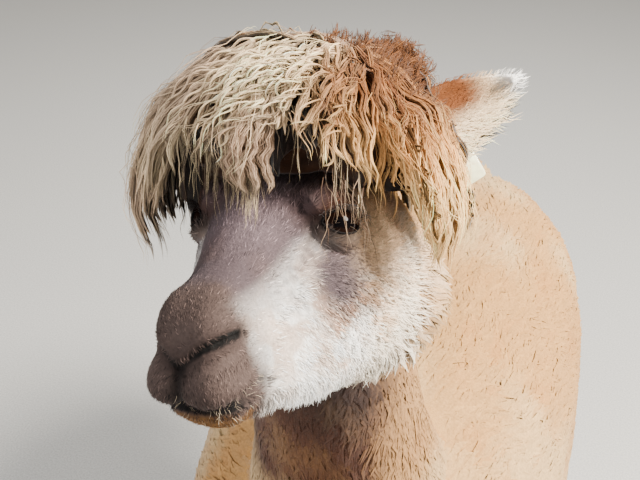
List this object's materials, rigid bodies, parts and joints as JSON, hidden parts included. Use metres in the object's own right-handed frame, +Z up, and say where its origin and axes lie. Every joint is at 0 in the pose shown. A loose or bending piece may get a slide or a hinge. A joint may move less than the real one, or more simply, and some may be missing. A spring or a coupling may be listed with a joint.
{
  "type": "alpaca",
  "caption": "Standing alpaca, life size, with a turned head, a thick topknot of matted locks, a short fleece and a bare ear tag.",
  "frame": {"origin": "on the floor under the middle of the animal's bounding box", "axes": "+X to the animal's left, +Y to its tail with the breast facing -Y, +Z up"},
  "size_m": [0.48, 1.1306, 1.3947],
  "materials": {
    "fleece": "matte, short woolly fleece, apricot fawn",
    "neck_fleece": "matte, short woolly fleece, brown in the shade of the head",
    "face_fur": "matte, short flat face hair, grey taupe with pale cheeks",
    "jaw_fur": "matte, short chin hair, orange brown",
    "locks": "soft sheen, long matted wavy locks, tan with cream tips",
    "ear_fur": "matte, short ear hair with a long cream fringe",
    "eye": "wet gloss, near black",
    "pad": "matte, leathery pad",
    "nail": "satin horn",
    "tag": "satin, pale yellow, bare"
  },
  "bodies": {
    "root": {"head": "face_fur", "lower_jaw": "jaw_fur", "topknot": "locks", "ear_left": "ear_fur", "ear_right": "ear_fur", "eye_left": "eye", "eye_right": "eye", "ear_tag": "tag", "neck": "neck_fleece", "trunk": "fleece", "tail": "fleece", "upper_leg_fore_left": "fleece", "lower_leg_fore_left": "fleece", "foot_fore_left": "pad", "nail_fore_left_1": "nail", "nail_fore_left_2": "nail", "upper_leg_fore_right": "fleece", "lower_leg_fore_right": "fleece", "foot_fore_right": "pad", "nail_fore_right_1": "nail", "nail_fore_right_2": "nail", "upper_leg_hind_left": "fleece", "lower_leg_hind_left": "fleece", "foot_hind_left": "pad", "nail_hind_left_1": "nail", "nail_hind_left_2": "nail", "upper_leg_hind_right": "fleece", "lower_leg_hind_right": "fleece", "foot_hind_right": "pad", "nail_hind_right_1": "nail", "nail_hind_right_2": "nail"}
  },
  "joints": []
}
